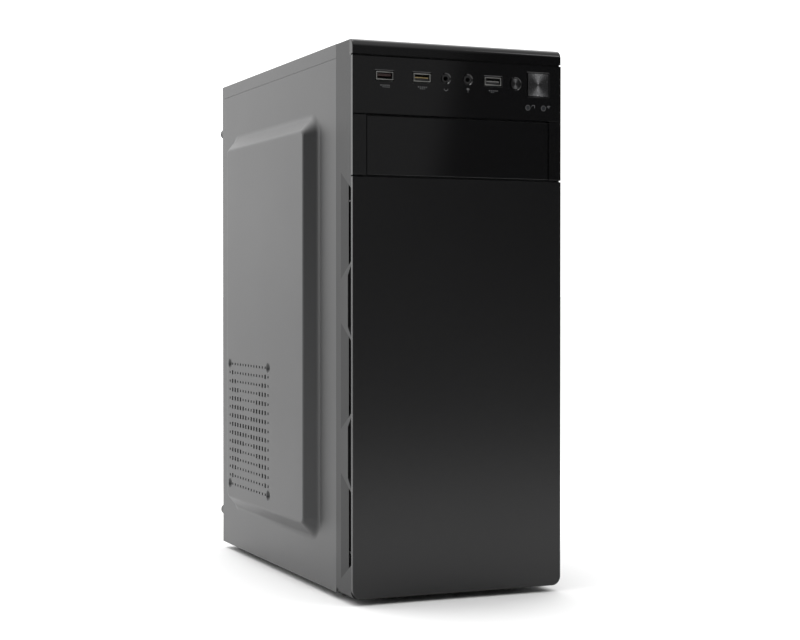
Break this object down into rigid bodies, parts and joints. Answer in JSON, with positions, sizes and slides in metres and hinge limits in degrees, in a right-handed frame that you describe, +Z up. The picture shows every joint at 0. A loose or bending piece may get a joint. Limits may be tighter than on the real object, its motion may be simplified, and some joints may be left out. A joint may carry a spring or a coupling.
{
  "type": "desktop computer tower",
  "caption": "Slim desktop computer tower with a gloss front, a blank drive bay cover, front ports, and raised side panels that slide off a steel chassis.",
  "frame": {"origin": "middle of the footprint on the floor, halfway between the front face and the ends of the rear thumbscrews", "axes": "+Z up, front facing -Y, +X to the right as seen from the front"},
  "size_m": [0.1908, 0.335, 0.417],
  "materials": {
    "galvanised_steel": "satin",
    "black_sheet": "satin",
    "supply_steel": "satin",
    "bezel_plastic": "matte",
    "gloss_front": "gloss",
    "satin_front": "satin",
    "button_metal": "brushed",
    "screw_steel": "satin",
    "black_screw": "satin",
    "circuit_board": "satin",
    "socket_plastic": "matte",
    "tinned_steel": "satin",
    "heat_sink": "satin",
    "fan_plastic": "matte",
    "cable_sleeve": "matte",
    "drive_casting": "satin",
    "foot_rubber": "matte",
    "lens": "satin"
  },
  "bodies": {
    "chassis": {"base_pan": "galvanised_steel", "board_sockets": "socket_plastic", "case_screws": "screw_steel", "chipset_heatsink": "heat_sink", "coin_cell": "tinned_steel", "cpu": "tinned_steel", "cpu_fan_frame": "fan_plastic", "cpu_heatsink": "heat_sink", "cpu_socket": "tinned_steel", "expansion_slot_covers": "galvanised_steel", "expansion_sockets": "socket_plastic", "feet": "foot_rubber", "front_audio_jacks": "socket_plastic", "front_io_board": "circuit_board", "front_panel_cable": "cable_sleeve", "front_plate": "galvanised_steel", "front_switches": "socket_plastic", "front_usb_ports": "tinned_steel", "hard_drive": "drive_casting", "hard_drive_cage": "galvanised_steel", "indicator_leds": "lens", "io_shield": "tinned_steel", "mains_inlet": "socket_plastic", "memory_modules": "circuit_board", "memory_slots": "socket_plastic", "motherboard": "circuit_board", "motherboard_screws": "screw_steel", "motherboard_standoffs": "screw_steel", "motherboard_tray": "galvanised_steel", "optical_drive_cage": "galvanised_steel", "power_supply_board": "circuit_board", "power_supply_case": "supply_steel", "power_supply_cover": "supply_steel", "power_supply_fan_frame": "fan_plastic", "power_supply_fan_guard": "screw_steel", "power_supply_harness": "cable_sleeve", "rear_fan_frame": "fan_plastic", "rear_fan_screws": "black_screw", "rear_plate": "galvanised_steel", "rear_port_block": "tinned_steel", "regulator_parts": "heat_sink", "sata_data_cable": "cable_sleeve", "slot_rail": "galvanised_steel", "top_cover": "black_sheet"},
    "left_panel": {"left_side_panel": "black_sheet"},
    "right_panel": {"right_side_panel": "black_sheet"},
    "front": {"front_bezel": "bezel_plastic", "upper_fascia": "gloss_front", "lower_fascia": "satin_front"},
    "bay_blank": {"bay_cover": "gloss_front"},
    "power_button": {"power_button": "button_metal"},
    "reset_button": {"reset_button": "button_metal"},
    "rear_fan": {"rear_fan_rotor": "fan_plastic"},
    "cpu_fan": {"cpu_fan_rotor": "fan_plastic"},
    "supply_fan": {"power_supply_fan_rotor": "fan_plastic"},
    "rocker": {"power_rocker": "socket_plastic"},
    "left_lower_knob": {"left_lower_thumbscrew": "black_screw"},
    "left_upper_knob": {"left_upper_thumbscrew": "black_screw"},
    "right_lower_knob": {"right_lower_thumbscrew": "black_screw"},
    "right_upper_knob": {"right_upper_thumbscrew": "black_screw"}
  },
  "joints": [
    {"name": "left_panel_slide", "type": "slide", "parent": "chassis", "child": "left_panel", "axis": [0, 1, 0], "range_m": [0, 0.31]},
    {"name": "right_panel_slide", "type": "slide", "parent": "chassis", "child": "right_panel", "axis": [0, 1, 0], "range_m": [0, 0.31]},
    {"name": "front_pull", "type": "slide", "parent": "chassis", "child": "front", "axis": [0, -1, 0], "range_m": [0, 0.05]},
    {"name": "bay_blank_pull", "type": "slide", "parent": "front", "child": "bay_blank", "axis": [0, -1, 0], "range_m": [0, 0.03]},
    {"name": "power_button_press", "type": "slide", "parent": "front", "child": "power_button", "axis": [0, 1, 0], "range_m": [0, 0.0015], "stiffness_N_per_m": 700, "springref_m": -0.001},
    {"name": "reset_button_press", "type": "slide", "parent": "front", "child": "reset_button", "axis": [0, 1, 0], "range_m": [0, 0.0012], "stiffness_N_per_m": 500, "springref_m": -0.001},
    {"name": "rear_fan_spin", "type": "hinge", "parent": "chassis", "child": "rear_fan", "pos_m": [-0.03, 0.143, 0.27], "axis": [0, 1, 0], "continuous": true},
    {"name": "cpu_fan_spin", "type": "hinge", "parent": "chassis", "child": "cpu_fan", "pos_m": [0.012, 0.068, 0.264], "axis": [1, 0, 0], "continuous": true},
    {"name": "supply_fan_spin", "type": "hinge", "parent": "chassis", "child": "supply_fan", "pos_m": [-0.02, 0.145, 0.369], "axis": [0, 1, 0], "continuous": true},
    {"name": "rocker_switch", "type": "hinge", "parent": "chassis", "child": "rocker", "pos_m": [0.046, 0.1524, 0.35], "axis": [0, 0, 1], "range_deg": [-18, 0]},
    {"name": "left_lower_knob_turn", "type": "hinge", "parent": "left_panel", "child": "left_lower_knob", "pos_m": [-0.0805, 0.1625, 0.0331], "axis": [0, 1, 0], "continuous": true},
    {"name": "left_upper_knob_turn", "type": "hinge", "parent": "left_panel", "child": "left_upper_knob", "pos_m": [-0.0805, 0.1625, 0.3755], "axis": [0, 1, 0], "continuous": true},
    {"name": "right_lower_knob_turn", "type": "hinge", "parent": "right_panel", "child": "right_lower_knob", "pos_m": [0.0805, 0.1625, 0.0331], "axis": [0, 1, 0], "continuous": true},
    {"name": "right_upper_knob_turn", "type": "hinge", "parent": "right_panel", "child": "right_upper_knob", "pos_m": [0.0805, 0.1625, 0.3755], "axis": [0, 1, 0], "continuous": true}
  ]
}
